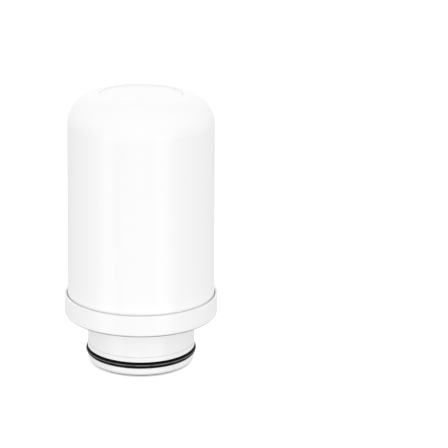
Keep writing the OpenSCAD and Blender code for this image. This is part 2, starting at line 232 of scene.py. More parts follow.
direction = nodes.new("ShaderNodeTexCoord").outputs["Generated"]
slope = nodes.new("ShaderNodeVectorMath")
slope.operation = "DOT_PRODUCT"
slope.inputs[1].default_value = TENT_LEAN
links.new(direction, slope.inputs[0])
parts = nodes.new("ShaderNodeSeparateXYZ")
links.new(direction, parts.inputs["Vector"])
level = worked_out(nodes, links, "ADD", slope.outputs["Value"], TENT_LEVEL)
for card_direction, tightness, strength in (
    (CARD_DIRECTION, CARD_TIGHTNESS, CARD_LEVEL),
    (BACK_DIRECTION, BACK_TIGHTNESS, BACK_LEVEL),
):
    facing = nodes.new("ShaderNodeVectorMath")
    facing.operation = "DOT_PRODUCT"
    facing.inputs[1].default_value = card_direction
    links.new(direction, facing.inputs[0])
    facing_card = worked_out(nodes, links, "MAXIMUM", facing.outputs["Value"], 0.0)
    card = worked_out(nodes, links, "POWER", facing_card, tightness)
    card = worked_out(nodes, links, "MULTIPLY", card, strength)
    level = worked_out(nodes, links, "ADD", level, card)
underneath = between(nodes, links, parts.outputs["Z"], UNDER_LEVEL, 1.0, UNDER_START, UNDER_END)
level = worked_out(nodes, links, "MULTIPLY", level, underneath)
links.new(level, nodes["Background"].inputs["Strength"])
nodes["Background"].inputs["Color"].default_value = (1.0, 1.0, 1.0, 1.0)


def soft_box(name, place, size, power, target):
    """A rectangular lamp at place that faces the target."""
    lamp = bpy.data.lights.new(name, "AREA")
    lamp.shape = "RECTANGLE"
    lamp.size, lamp.size_y = size
    lamp.energy = power
    box = bpy.data.objects.new(name, lamp)
    box.location = place
    towards = Vector(target) - Vector(place)
    box.rotation_euler = towards.to_track_quat("-Z", "Y").to_euler()
    bpy.context.collection.objects.link(box)


soft_box("left_box", LEFT_BOX_PLACE, SIDE_BOX_SIZE, LEFT_BOX_POWER, SIDE_BOX_AIM)
soft_box("right_box", RIGHT_BOX_PLACE, SIDE_BOX_SIZE, RIGHT_BOX_POWER, SIDE_BOX_AIM)
soft_box("top_box", TOP_BOX_PLACE, TOP_BOX_SIZE, TOP_BOX_POWER, TOP_BOX_AIM)

# ---------------------------------------------------------------------------
# Housing shell: one polypropylene moulding, 2 mm thick, open at the bottom. Its
# shoulder is one large round, and a rim stands round the shallow dish on top.
TURN_STEPS = 192
MERGE_DISTANCE = 1e-7
ROUND_SEGMENTS = 3
SHARP_ANGLE = math.radians(35.0)
EVEN_SHADING = 60
SHELL_WALL = 0.0021
SHELL_DRAFT = 0.00055
SHELL_EDGE_BREAK = 0.0001
SHOULDER_ROUND = 0.0104
DISH_DEPTH = 0.0012
DISH_STEP = 0.0004
DISH_RADIUS = 0.01405
RIM_ROUND = 0.00025
RIM_FOOT = RIM_ROUND * 0.6
CUSHION_RIB_INNER = 0.0123
CUSHION_RIB_WIDTH = 0.0012
CUSHION_RIB_HEIGHT = 0.0025
INNER_ROUND_START = 82.0
WALL_ROWS, INNER_ROWS, CEILING_ROWS = 24, 12, 6
SHOULDER_ROWS, INNER_ROUND_ROWS, DISH_ROWS, RIM_ROWS = 40, 24, 24, 6
WHITE = (0.93, 0.93, 0.935, 1.0)
HAZE_SHADE = 0.985
SHELL_ROUGHNESS = 0.20
SHELL_PEEL = 2e-6
SKIN_SHARE = 0.6
PLASTIC_IOR = 1.49
NOISE_LOW, NOISE_HIGH = 0.3, 0.7
WELD_DEPTH = 0.0051
# Painted shade: the shell's colour greys below the collar's top, where its foot stands down in the collar's
# gap.
GAP_SHADE = (0.72, 0.72, 0.73, 1.0)
GAP_SHADE_FADE = 0.00003


def arc(centre_x, centre_z, radius, first, last, steps=12):
    """Points on a round from one angle to another, in degrees, both ends included."""
    turns = [math.radians(first + (last - first) * i / steps) for i in range(steps + 1)]
    return [(centre_x + radius * math.cos(a), centre_z + radius * math.sin(a)) for a in turns]


def run(start, end, steps):
    """Evenly spaced points between two points, without the ends."""
    return [
        tuple(s + (e - s) * i / steps for s, e in zip(start, end))
        for i in range(1, steps)
    ]


def turned(name, outline, material, body, node, closed=True, steps=TURN_STEPS, round_width=0.0):
    """A solid of revolution: the outline of (radius, height) points spun round the axis."""
    mesh = bmesh.new()
    points = [mesh.verts.new((x, 0.0, z)) for x, z in outline]
    pairs = list(zip(points, points[1:]))
    if closed:
        pairs.append((points[-1], points[0]))
    edges = [mesh.edges.new(pair) for pair in pairs]
    bmesh.ops.spin(
        mesh, geom=points + edges, cent=(0.0, 0.0, 0.0), axis=(0.0, 0.0, 1.0),
        angle=math.tau, steps=steps, use_merge=True, use_duplicate=False,
    )
    bmesh.ops.remove_doubles(mesh, verts=mesh.verts, dist=MERGE_DISTANCE)
    bmesh.ops.recalc_face_normals(mesh, faces=mesh.faces)
    return finished(name, mesh, material, body, node, round_width)


def finished(name, mesh, material, body, node, round_width=0.0):
    """Makes a piece of the mesh, rounds its sharp edges and puts it on its body."""
    data = bpy.data.meshes.new(name)
    mesh.to_mesh(data)
    mesh.free()
    data.materials.append(material)
    data.shade_smooth()
    piece = bpy.data.objects.new(name, data)
    bpy.context.collection.objects.link(piece)
    if round_width:
        rounding = piece.modifiers.new("rounded_edges", "BEVEL")
        rounding.width = round_width
        rounding.segments = ROUND_SEGMENTS
        rounding.limit_method = "ANGLE"
        rounding.angle_limit = SHARP_ANGLE
        rounding.use_clamp_overlap = True
    evened = piece.modifiers.new("even_shading", "WEIGHTED_NORMAL")
    evened.keep_sharp = True
    evened.weight = EVEN_SHADING
    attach(piece, body)
    if node:
        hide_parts(node)
    return piece


body_of = {
    node: body for body, members in frame["record"]["behaviour"]["bodies"].items() for node in members
}


def object_height(nodes, links):
    """The height of each point of the piece, from its own coordinates."""
    place = nodes.new("ShaderNodeTexCoord")
    split = nodes.new("ShaderNodeSeparateXYZ")
    links.new(place.outputs["Object"], split.inputs["Vector"])
    return split.outputs["Z"]


def glossy_white(name, colour, roughness, peel, painted_shade_below=None):
    """Moulded white polypropylene: a fine skin, faint flow marks and a slight haze. Below the given height,
    if one is given, its colour is greyed as painted shade.
    """
    made, nodes, links, shader = shader_tree(name)
    haze = object_pattern(nodes, links, "ShaderNodeTexNoise", (1.0, 1.0, 0.12), Scale=90.0, Detail=4.0)
    skin = object_pattern(nodes, links, "ShaderNodeTexNoise", Scale=1400.0, Detail=5.0)
    flow = object_pattern(nodes, links, "ShaderNodeTexNoise", (1.0, 1.0, 0.05), Scale=240.0, Detail=3.0)
    dim = tuple(c * HAZE_SHADE for c in colour[:3]) + (1.0,)
    skin_colour = mixed(nodes, links, haze.outputs["Fac"], dim, colour)
    if painted_shade_below is not None:
        # Painted shade below the given height.
        height = object_height(nodes, links)
        painted_shade = between(nodes, links, height, 1.0, 0.0, painted_shade_below - GAP_SHADE_FADE, painted_shade_below)
        skin_colour = mixed(nodes, links, painted_shade, skin_colour, GAP_SHADE)
    links.new(skin_colour, shader.inputs["Base Color"])
    links.new(
        between(nodes, links, haze.outputs["Fac"], roughness * 0.85, roughness * 1.2, NOISE_LOW, NOISE_HIGH),
        shader.inputs["Roughness"],
    )
    lower = raised(nodes, links, shader, flow.outputs["Fac"], peel)
    raised(nodes, links, shader, skin.outputs["Fac"], peel * SKIN_SHARE, lower)
    shader.inputs["IOR"].default_value = PLASTIC_IOR
    return made


shell_low, shell_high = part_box("housing_shell")
# The shell's foot below the collar's top gets painted shade.
shell_white = glossy_white("shell_white", WHITE, SHELL_ROUGHNESS, SHELL_PEEL, shell_low.z + WELD_DEPTH)

shoulder_z = shell_high.z - SHOULDER_ROUND
shell_foot_r = shell_high.x
shell_top_r = shell_foot_r - SHELL_DRAFT
crown_r = shell_top_r - SHOULDER_ROUND
ceiling = shell_high.z - DISH_DEPTH - SHELL_WALL
dish_sag = DISH_DEPTH - DISH_STEP
dish_curve = (DISH_RADIUS**2 + dish_sag**2) / (2 * dish_sag)
dish_angle = math.degrees(math.asin((DISH_RADIUS - RIM_ROUND) / dish_curve))
rib_outer = CUSHION_RIB_INNER + CUSHION_RIB_WIDTH

outside = (
    [(shell_foot_r, shell_low.z)]
    + run((shell_foot_r, shell_low.z), (shell_top_r, shoulder_z), WALL_ROWS)
    + arc(crown_r, shoulder_z, SHOULDER_ROUND, 0.0, 90.0, SHOULDER_ROWS)
    + arc(DISH_RADIUS + RIM_ROUND, shell_high.z - RIM_ROUND, RIM_ROUND, 90.0, 180.0, RIM_ROWS)
)
dish_centre_z = shell_high.z - DISH_DEPTH + dish_curve
dish = (
    [(DISH_RADIUS, shell_high.z - DISH_STEP + RIM_FOOT)]
    + arc(0.0, dish_centre_z, dish_curve, -90.0 + dish_angle, -90.0, DISH_ROWS)
)
inside = (
    [(0.0, ceiling)]
    + run((0.0, ceiling), (CUSHION_RIB_INNER, ceiling), CEILING_ROWS)
    + [
        (CUSHION_RIB_INNER, ceiling),
        (CUSHION_RIB_INNER, ceiling - CUSHION_RIB_HEIGHT),
        (rib_outer, ceiling - CUSHION_RIB_HEIGHT),
        (rib_outer, ceiling),
    ]
    + arc(crown_r, shoulder_z, SHOULDER_ROUND - SHELL_WALL, INNER_ROUND_START, 0.0, INNER_ROUND_ROWS)
    + run((shell_top_r - SHELL_WALL, shoulder_z), (shell_foot_r - SHELL_WALL, shell_low.z), INNER_ROWS)
    + [(shell_foot_r - SHELL_WALL, shell_low.z)]
)
turned(
    "shell_moulding", outside + dish + inside, shell_white, "cartridge", "housing_shell",
    round_width=SHELL_EDGE_BREAK,
)

# ---------------------------------------------------------------------------
# Top cushion: a ring of grey closed-cell foam. It is pushed over the ring inside
# the dome and presses the filter element down on its seals.
FOAM_WALL = 0.005
FOAM_EDGE = 0.0012
FOAM_CROWN = 0.00025
FOAM_TURN_STEPS = 96
FOAM_PALE, FOAM_GREY = (0.78, 0.80, 0.82, 1.0), (0.66, 0.69, 0.71, 1.0)
FOAM_CELL = (0.52, 0.55, 0.57, 1.0)
FOAM_ROUGHNESS = 0.85
FOAM_GLOSS = 0.25
FOAM_RELIEF = 0.00008


def rounded_ring(inner, outer, low, high, edge, steps=6):
    """The outline of a ring with rounded corners."""
    return (
        arc(outer - edge, low + edge, edge, -90.0, 0.0, steps)
        + arc(outer - edge, high - edge, edge, 0.0, 90.0, steps)
        + arc(inner + edge, high - edge, edge, 90.0, 180.0, steps)
        + arc(inner + edge, low + edge, edge, 180.0, 270.0, steps)
    )


def closed_cell_foam():
    """Grey polyethylene foam: small round cells under a thin skin."""
    made, nodes, links, shader = shader_tree("closed_cell_foam")
    cells = object_pattern(nodes, links, "ShaderNodeTexVoronoi", Scale=1300.0)
    clouds = object_pattern(nodes, links, "ShaderNodeTexNoise", Scale=160.0, Detail=4.0)
    cloudy = mixed(nodes, links, clouds.outputs["Fac"], FOAM_GREY, FOAM_PALE)
    celled = mixed(nodes, links, cells.outputs["Distance"], cloudy, FOAM_CELL)
    links.new(celled, shader.inputs["Base Color"])
    shader.inputs["Roughness"].default_value = FOAM_ROUGHNESS
    shader.inputs["Specular IOR Level"].default_value = FOAM_GLOSS
    raised(nodes, links, shader, cells.outputs["Distance"], FOAM_RELIEF)
    return made


foam_low, foam_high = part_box("top_cushion")
foam_inner = foam_high.x - FOAM_WALL
foam_outline = rounded_ring(foam_inner + FOAM_CROWN, foam_high.x, foam_low.z, foam_high.z, FOAM_EDGE)
cushion = turned(
    "foam_cushion", foam_outline, closed_cell_foam(), "cartridge", "top_cushion", steps=FOAM_TURN_STEPS,
)

# ---------------------------------------------------------------------------
# Filter element, core: an extruded tube of natural polypropylene with rows of
# drilled holes, and a spun-bonded liner between it and the carbon.
CORE_COLOUR = (0.80, 0.82, 0.80, 1.0)
MILK_SHADE = 0.93
SATIN_ROUGHNESS = 0.42
SATIN_RELIEF = 5e-6
LINER_COLOUR = (0.88, 0.88, 0.86, 1.0)
LINER_FIBRE_SCALE = 1900.0
FELT_SHADE = 0.82
FELT_ROUGHNESS = 0.92
FELT_SHEEN = 0.3
FELT_GLOSS = 0.2
FELT_RELIEF = 0.0001
THREAD_LOW, THREAD_HIGH = 0.42, 0.62


def natural_plastic(name, colour, roughness=SATIN_ROUGHNESS):
    """Uncoloured polypropylene: milky, with flow marks and a satin skin."""
    made, nodes, links, shader = shader_tree(name)
    milk = object_pattern(nodes, links, "ShaderNodeTexNoise", (1.0, 1.0, 0.3), Scale=220.0, Detail=5.0)
    skin = object_pattern(nodes, links, "ShaderNodeTexNoise", Scale=2200.0, Detail=4.0)
    dim = tuple(c * MILK_SHADE for c in colour[:3]) + (1.0,)
    links.new(mixed(nodes, links, milk.outputs["Fac"], dim, colour), shader.inputs["Base Color"])
    links.new(
        between(nodes, links, milk.outputs["Fac"], roughness * 0.8, roughness * 1.2, NOISE_LOW, NOISE_HIGH),
        shader.inputs["Roughness"],
    )
    raised(nodes, links, shader, skin.outputs["Fac"], SATIN_RELIEF)
    shader.inputs["IOR"].default_value = PLASTIC_IOR
    return made


def felt(name, colour, fibre_scale=1500.0):
    """Spun-bonded fibres: crossing threads, soft to the light, with thin and thick places."""
    made, nodes, links, shader = shader_tree(name)
    fibres = {"Scale": fibre_scale, "Detail": 6.0}
    along = object_pattern(nodes, links, "ShaderNodeTexNoise", (1.0, 1.0, 0.16), **fibres)
    across = object_pattern(nodes, links, "ShaderNodeTexNoise", (0.2, 0.2, 1.0), **fibres)
    clouds = object_pattern(nodes, links, "ShaderNodeTexNoise", Scale=120.0, Detail=3.0)
    threads = worked_out(nodes, links, "MAXIMUM", along.outputs["Fac"], across.outputs["Fac"])
    dim = tuple(c * FELT_SHADE for c in colour[:3]) + (1.0,)
    cloudy = mixed(nodes, links, clouds.outputs["Fac"], dim, colour)
    depth = between(nodes, links, threads, 1.0, 0.0, THREAD_LOW, THREAD_HIGH)
    links.new(mixed(nodes, links, depth, cloudy, dim), shader.inputs["Base Color"])
    shader.inputs["Roughness"].default_value = FELT_ROUGHNESS
    shader.inputs["Sheen Weight"].default_value = FELT_SHEEN
    shader.inputs["Specular IOR Level"].default_value = FELT_GLOSS
    raised(nodes, links, shader, threads, FELT_RELIEF)
    return made


def keep_node(name, material):
    """A CAD node whose shape is right stays, with a material of its own."""
    data = frame["nodes"][name].data
    for i in range(len(data.materials)):
        data.materials[i] = material
    if not data.materials:
        data.materials.append(material)


keep_node("core_tube", natural_plastic("core_plastic", CORE_COLOUR))
keep_node("core_liner", felt("liner_felt", LINER_COLOUR, LINER_FIBRE_SCALE))

# ---------------------------------------------------------------------------
# Filter element, carbon: a sleeve of pressed activated carbon grains, sawn to
# length, so its ends are rough and its edges crumble a little.
CARBON_CHIP = 0.0003
CARBON_RINGS = 96
CARBON_STEPS = 256
CARBON_SEED = 11
GRAIN_FACE, GRAIN_PIT = (0.045, 0.045, 0.047, 1.0), (0.010, 0.010, 0.011, 1.0)
GLINT_ROUGHNESS, DULL_ROUGHNESS = 0.45, 0.95
GLINT_LOW, GLINT_HIGH = 0.35, 0.6
GRAIN_RELIEF = 0.00018
DUST_RELIEF = 0.00004


def pressed_carbon():
    """Sintered carbon: black grains of all sizes with a few that glint."""
    made, nodes, links, shader = shader_tree("pressed_carbon")
    grains = object_pattern(nodes, links, "ShaderNodeTexVoronoi", Scale=1700.0)
    fine = object_pattern(nodes, links, "ShaderNodeTexNoise", Scale=3200.0, Detail=5.0)
    links.new(
        mixed(nodes, links, grains.outputs["Distance"], GRAIN_FACE, GRAIN_PIT),
        shader.inputs["Base Color"],
    )
    links.new(
        between(nodes, links, fine.outputs["Fac"], GLINT_ROUGHNESS, DULL_ROUGHNESS, GLINT_LOW, GLINT_HIGH),
        shader.inputs["Roughness"],
    )
    lower = raised(nodes, links, shader, grains.outputs["Distance"], GRAIN_RELIEF)
    raised(nodes, links, shader, fine.outputs["Fac"], DUST_RELIEF, lower)
    return made


def chipped(piece, depth, inner, outer, seed):
    """Moves the points of a sleeve's walls in by up to the depth, as loose grains leave it."""
    draw = random.Random(seed)
    for vertex in piece.data.vertices:
        reach = math.hypot(vertex.co.x, vertex.co.y)
        if reach > (inner + outer) / 2:
            scale = 1.0 - depth * draw.random() / reach
            vertex.co.x, vertex.co.y = vertex.co.x * scale, vertex.co.y * scale


block_low, block_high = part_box("carbon_block")
liner_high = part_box("core_liner")[1]
block_wall = run(
    (block_high.x, block_low.z + CARBON_CHIP), (block_high.x, block_high.z - CARBON_CHIP), CARBON_RINGS,
)
block_outline = (
    [(liner_high.x, block_low.z), (block_high.x - CARBON_CHIP, block_low.z)]
    + block_wall
    + [(block_high.x - CARBON_CHIP, block_high.z), (liner_high.x, block_high.z)]
)
block = turned(
    "carbon_sleeve", block_outline, pressed_carbon(), "cartridge", "carbon_block", steps=CARBON_STEPS,
)
chipped(block, CARBON_CHIP / 2, liner_high.x, block_high.x, CARBON_SEED)

# ---------------------------------------------------------------------------
# Filter element, sediment wrap: a strip of white felt round the carbon, with
# its lap welded in one line from end to end.
LAP_WIDTH = math.radians(7.0)
LAP_RISE = 0.0003
LAP_SLOPE = math.radians(2.0)
LAP_ROWS = 3
WRAP_ROWS = 40
WRAP_TURN_STEPS = 360
WRAP_COLOUR = (0.93, 0.93, 0.90, 1.0)

wrap_low, wrap_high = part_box("sediment_wrap")
wrap_outline = (
    [(block_high.x, wrap_low.z)]
    + arc(wrap_high.x - LAP_RISE, wrap_low.z + LAP_RISE, LAP_RISE, -90.0, 0.0, LAP_ROWS)
    + run((wrap_high.x, wrap_low.z), (wrap_high.x, wrap_high.z), WRAP_ROWS)[1:-1]
    + arc(wrap_high.x - LAP_RISE, wrap_high.z - LAP_RISE, LAP_RISE, 0.0, 90.0, LAP_ROWS)
    + [(block_high.x, wrap_high.z)]
)
wrap_felt = felt("wrap_felt", WRAP_COLOUR)
wrap = turned("felt_wrap", wrap_outline, wrap_felt, "cartridge", "sediment_wrap", steps=WRAP_TURN_STEPS)
for vertex in wrap.data.vertices:
    reach = math.hypot(vertex.co.x, vertex.co.y)
    past_lap = abs(math.atan2(vertex.co.y, vertex.co.x)) - LAP_WIDTH
    if reach > block_high.x + LAP_RISE:
        scale = 1.0 - LAP_RISE * min(max(past_lap / LAP_SLOPE, 0.0), 1.0) / reach
        vertex.co.x, vertex.co.y = vertex.co.x * scale, vertex.co.y * scale

# ---------------------------------------------------------------------------
# Filter element, outer net: an extruded sleeve of crossing plastic strands that
# are fused where they meet. It holds the felt on.
NET_STRANDS = 26
NET_SIDES = 6
NET_TURN = math.radians(150.0)
NET_STEPS = 48
STRAND_CROWDING = 3.2
NET_COLOUR = (0.90, 0.91, 0.90, 1.0)
NET_ROUGHNESS = 0.35

net_low, net_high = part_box("outer_netting")
strand_r = (net_high.x - wrap_high.x) / STRAND_CROWDING
net_mesh = bmesh.new()
strand_mesh = bpy.data.meshes.new("strand")
for way, strand_place in ((1.0, wrap_high.x + strand_r), (-1.0, net_high.x - strand_r)):
    strand = bmesh.new()
    start = bmesh.ops.create_circle(
        strand, segments=NET_SIDES, radius=strand_r,
        matrix=Matrix.Translation((strand_place, 0.0, net_low.z)),
    )["verts"]
    section = start + list(strand.edges)
    bmesh.ops.contextual_create(strand, geom=strand.edges[:])
    section = bmesh.ops.spin(
        strand, geom=section, cent=(0.0, 0.0, 0.0), axis=(0.0, 0.0, 1.0),
        dvec=(0.0, 0.0, (net_high.z - net_low.z) / NET_STEPS),
        angle=way * NET_TURN, steps=NET_STEPS, use_merge=False, use_duplicate=False,
    )["geom_last"]
    bmesh.ops.contextual_create(strand, geom=[e for e in section if isinstance(e, bmesh.types.BMEdge)])
    for i in range(NET_STRANDS):
        turn = Matrix.Rotation(math.tau / NET_STRANDS, 3, "Z")
        bmesh.ops.rotate(strand, cent=(0.0, 0.0, 0.0), matrix=turn, verts=strand.verts)
        strand.to_mesh(strand_mesh)
        net_mesh.from_mesh(strand_mesh)
    strand.free()
bpy.data.meshes.remove(strand_mesh)
bmesh.ops.recalc_face_normals(net_mesh, faces=net_mesh.faces)
net_plastic = natural_plastic("net_plastic", NET_COLOUR, NET_ROUGHNESS)
finished("net_sleeve", net_mesh, net_plastic, "cartridge", "outer_netting")

# ---------------------------------------------------------------------------
# Filter element, ends: two moulded caps with rims, each stuck on with a bead of
# hot glue. The lower one has the spigot that carries two O-rings.
GLUE_DARK, GLUE_PALE = (0.80, 0.72, 0.52, 1.0), (0.88, 0.84, 0.72, 1.0)
GLUE_ROUGHNESS = 0.25
GLUE_RELIEF = 0.00008
END_CAP_COLOUR = (0.88, 0.88, 0.88, 1.0)
END_CAP_ROUGHNESS = 0.38


def hot_glue():
    """Amber hot-melt: glossy, cloudy and wavy where it set."""
    made, nodes, links, shader = shader_tree("hot_glue")
    clouds = object_pattern(nodes, links, "ShaderNodeTexNoise", Scale=260.0, Detail=3.0)
    waves = object_pattern(nodes, links, "ShaderNodeTexNoise", Scale=600.0, Detail=2.0)
    links.new(mixed(nodes, links, clouds.outputs["Fac"], GLUE_DARK, GLUE_PALE), shader.inputs["Base Color"])
    shader.inputs["Roughness"].default_value = GLUE_ROUGHNESS
    raised(nodes, links, shader, waves.outputs["Fac"], GLUE_RELIEF)
    return made


glue = hot_glue()
cap_plastic = natural_plastic("cap_plastic", END_CAP_COLOUR, END_CAP_ROUGHNESS)
for node, material in (
    ("lower_glue_bead", glue), ("upper_glue_bead", glue),
    ("lower_end_cap", cap_plastic), ("upper_end_cap", cap_plastic),
):
    keep_node(node, material)

# ---------------------------------------------------------------------------
# Base cap: collar, floor, neck and outlet tube in one moulding. The collar is
# welded round the shell's foot and leaves a fine open line at its top edge.
COLLAR_TOP_EDGE = 0.0003
COLLAR_FOOT_EDGE = 0.00085
COLLAR_HEIGHT = 0.0075
FLOOR_THICKNESS = 0.0024
NECK_RADIUS = 0.0185
NECK_BORE = 0.01475
NECK_HEIGHT = 0.01745
LIP_EDGE = 0.00215
LIP_HEIGHT = 0.00325
GROOVE_FLOOR = 0.01705
GROOVE_WIDTH = 0.0023
LAND_HEIGHT = 0.0016
LAND_STEP = 0.00015
WITNESS = 0.00025
TRAP_WIDTH = 0.00025
TRAP_DEPTH = 0.0012
TUBE_RADIUS = 0.0066
POCKET_RADIUS = 0.0054
POCKET_FLOOR = 0.0122
WEB_HOLE = 0.0032
OUTLET_RADIUS = 0.0046
OUTLET_TOP = 0.011
TUBE_INSET = 0.002
WINDOW_COUNT = 4
WINDOW_INNER = 0.0082
WINDOW_OUTER = 0.0132
WINDOW_STEPS = 14
RIB_THICKNESS = 0.0012
RIB_HEIGHT = 0.0045
RIB_OVERLAP = 0.0006
RIB_SINK = 0.0002
CAP_EDGE_BREAK = 0.00012
LIP_ROWS, FOOT_EDGE_ROWS, TOP_EDGE_ROWS = 14, 12, 8
NECK_ROWS, SEAT_ROWS, COLLAR_ROWS, BORE_ROWS = 6, 5, 5, 4
FACES_UP_OR_DOWN = 0.9
FLOOR_SLACK = 1e-5
WINDOW_SLACK = 0.99
WINDOW_SIDE = 0.5
CAP_COLOUR = (0.92, 0.92, 0.92, 1.0)
CAP_ROUGHNESS = 0.22
CAP_PEEL = 3e-6
# Painted shade on the collar's foot rounding and the lip's lower rounding: the greys and the depths of their
# bands.
COLLAR_SHADE, COLLAR_SHADE_DEPTH = (0.28, 0.28, 0.29, 1.0), 0.0008
LIP_SHADE, LIP_SHADE_DEPTH = (0.04, 0.04, 0.045, 1.0), 0.0011
EDGE_SHADE_CORE, EDGE_SHADE_FADE = 0.3, 0.5

cap_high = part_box("base_cap")[1]
collar_r = cap_high.x
hub_top = cap_high.z
floor_top = NECK_HEIGHT + FLOOR_THICKNESS
collar_top = NECK_HEIGHT + COLLAR_HEIGHT
groove_top = LIP_HEIGHT + GROOVE_WIDTH
land_top = groove_top + LAND_HEIGHT
shell_slope = SHELL_DRAFT / (shoulder_z - floor_top)
trap_floor = collar_top - TRAP_DEPTH
foot_edge_r = collar_r - COLLAR_FOOT_EDGE
foot_edge_z = NECK_HEIGHT + COLLAR_FOOT_EDGE
top_edge_z = collar_top - COLLAR_TOP_EDGE

cap_outline = (
    [(NECK_BORE, 0.0)]
    + arc(NECK_RADIUS - LIP_EDGE, LIP_EDGE, LIP_EDGE, -90.0, 0.0, LIP_ROWS)
    + [
        (NECK_RADIUS, LIP_HEIGHT),
        (GROOVE_FLOOR, LIP_HEIGHT),
        (GROOVE_FLOOR, groove_top),
        (NECK_RADIUS + LAND_STEP, groove_top),
        (NECK_RADIUS + LAND_STEP, land_top),
        (NECK_RADIUS - WITNESS, land_top),
        (NECK_RADIUS - WITNESS, land_top + WITNESS),
        (NECK_RADIUS, land_top + WITNESS),
    ]
    + run((NECK_RADIUS, land_top + WITNESS), (NECK_RADIUS, NECK_HEIGHT), NECK_ROWS)
    + [(NECK_RADIUS, NECK_HEIGHT)]
    + run((NECK_RADIUS, NECK_HEIGHT), (foot_edge_r, NECK_HEIGHT), SEAT_ROWS)
    + arc(foot_edge_r, foot_edge_z, COLLAR_FOOT_EDGE, -90.0, 0.0, FOOT_EDGE_ROWS)
    + run((collar_r, foot_edge_z), (collar_r, top_edge_z), COLLAR_ROWS)
    + arc(collar_r - COLLAR_TOP_EDGE, top_edge_z, COLLAR_TOP_EDGE, 0.0, 90.0, TOP_EDGE_ROWS)
    + [
        (shell_foot_r + TRAP_WIDTH, collar_top),
        (shell_foot_r + TRAP_WIDTH, trap_floor),
        (shell_foot_r - shell_slope * (trap_floor - floor_top), trap_floor),
        (shell_foot_r, floor_top),
        (WINDOW_OUTER, floor_top),
        (WINDOW_INNER, floor_top),
        (TUBE_RADIUS, floor_top),
        (TUBE_RADIUS, hub_top),
        (POCKET_RADIUS, hub_top),
        (POCKET_RADIUS, POCKET_FLOOR),
        (WEB_HOLE, POCKET_FLOOR),
        (WEB_HOLE, OUTLET_TOP),
        (OUTLET_RADIUS, OUTLET_TOP),
        (OUTLET_RADIUS, TUBE_INSET),
        (TUBE_RADIUS, TUBE_INSET),
        (TUBE_RADIUS, NECK_HEIGHT),
        (WINDOW_INNER, NECK_HEIGHT),
        (WINDOW_OUTER, NECK_HEIGHT),
        (NECK_BORE, NECK_HEIGHT),
    ]
    + run((NECK_BORE, NECK_HEIGHT), (NECK_BORE, 0.0), BORE_ROWS)
)


def in_window(face):
    """True for a face of the floor, above or below, that lies where a window goes."""
    middle = face.calc_center_median()
    reach = math.hypot(middle.x, middle.y)
    flat = abs(face.normal.z) > FACES_UP_OR_DOWN and (
        abs(middle.z - floor_top) < FLOOR_SLACK or abs(middle.z - NECK_HEIGHT) < FLOOR_SLACK
    )
    turn = math.degrees(math.atan2(middle.y, middle.x)) % (360.0 / WINDOW_COUNT)
    half = WINDOW_STEPS * 360.0 / TURN_STEPS
    near = turn < half or turn > 360.0 / WINDOW_COUNT - half
    return flat and near and WINDOW_INNER * WINDOW_SLACK < reach < WINDOW_OUTER


cap_mesh = bmesh.new()
points = [cap_mesh.verts.new((x, 0.0, z)) for x, z in cap_outline]
edges = [cap_mesh.edges.new(pair) for pair in zip(points, points[1:] + points[:1])]
bmesh.ops.spin(
    cap_mesh, geom=points + edges, cent=(0.0, 0.0, 0.0), axis=(0.0, 0.0, 1.0),
    angle=math.tau, steps=TURN_STEPS, use_merge=True, use_duplicate=False,
)
bmesh.ops.remove_doubles(cap_mesh, verts=cap_mesh.verts, dist=MERGE_DISTANCE)
bmesh.ops.recalc_face_normals(cap_mesh, faces=cap_mesh.faces)
bmesh.ops.delete(cap_mesh, geom=[f for f in cap_mesh.faces if in_window(f)], context="FACES")
open_edges = [e for e in cap_mesh.edges if e.is_boundary]
for i in range(WINDOW_COUNT):
    turn = math.tau * i / WINDOW_COUNT
    across = Vector((math.cos(turn), math.sin(turn), 0.0))
    rim = [
        e for e in open_edges
        if (e.verts[0].co + e.verts[1].co).normalized().dot(across) > WINDOW_SIDE
    ]
    bmesh.ops.bridge_loops(cap_mesh, edges=rim)
for i in range(WINDOW_COUNT):
    rib = bmesh.ops.create_cube(cap_mesh, size=1.0)["verts"]
    length = NECK_BORE - TUBE_RADIUS + RIB_OVERLAP
    bmesh.ops.scale(cap_mesh, vec=(length, RIB_THICKNESS, RIB_HEIGHT), verts=rib)
    middle = ((NECK_BORE + TUBE_RADIUS) / 2, 0.0, NECK_HEIGHT - RIB_HEIGHT / 2 + RIB_SINK)
    bmesh.ops.translate(cap_mesh, vec=middle, verts=rib)
    turn = Matrix.Rotation(math.tau * (i + 0.5) / WINDOW_COUNT, 3, "Z")
    bmesh.ops.rotate(cap_mesh, cent=(0.0, 0.0, 0.0), matrix=turn, verts=rib)
bmesh.ops.recalc_face_normals(cap_mesh, faces=cap_mesh.faces)


def painted_edge_shade(material, edge_z, edge_r, colour, depth):
    """Paints shade on a lower outer edge: a grey band round that height, outside that radius."""
    nodes, links = material.node_tree.nodes, material.node_tree.links
    skin = nodes["Principled BSDF"].inputs["Base Color"]
    place = nodes.new("ShaderNodeTexCoord")
    flat = nodes.new("ShaderNodeVectorMath")
    flat.operation = "MULTIPLY"
    flat.inputs[1].default_value = (1.0, 1.0, 0.0)
    links.new(place.outputs["Object"], flat.inputs[0])
    reach = nodes.new("ShaderNodeVectorMath")
    reach.operation = "LENGTH"
    links.new(flat.outputs["Vector"], reach.inputs[0])
    height = object_height(nodes, links)
    low = between(nodes, links, height, 1.0, 0.0, edge_z + depth * EDGE_SHADE_CORE, edge_z + depth)
    high = between(nodes, links, height, 0.0, 1.0, edge_z - depth, edge_z - depth * EDGE_SHADE_CORE)
    outer = between(nodes, links, reach.outputs["Value"], 0.0, 1.0, edge_r, edge_r + depth * EDGE_SHADE_FADE)
    band = worked_out(nodes, links, "MULTIPLY", low, high)
    share = worked_out(nodes, links, "MULTIPLY", band, outer)
    links.new(mixed(nodes, links, share, skin.links[0].from_socket, colour), skin)


cap_white = glossy_white("cap_white", CAP_COLOUR, CAP_ROUGHNESS, CAP_PEEL)
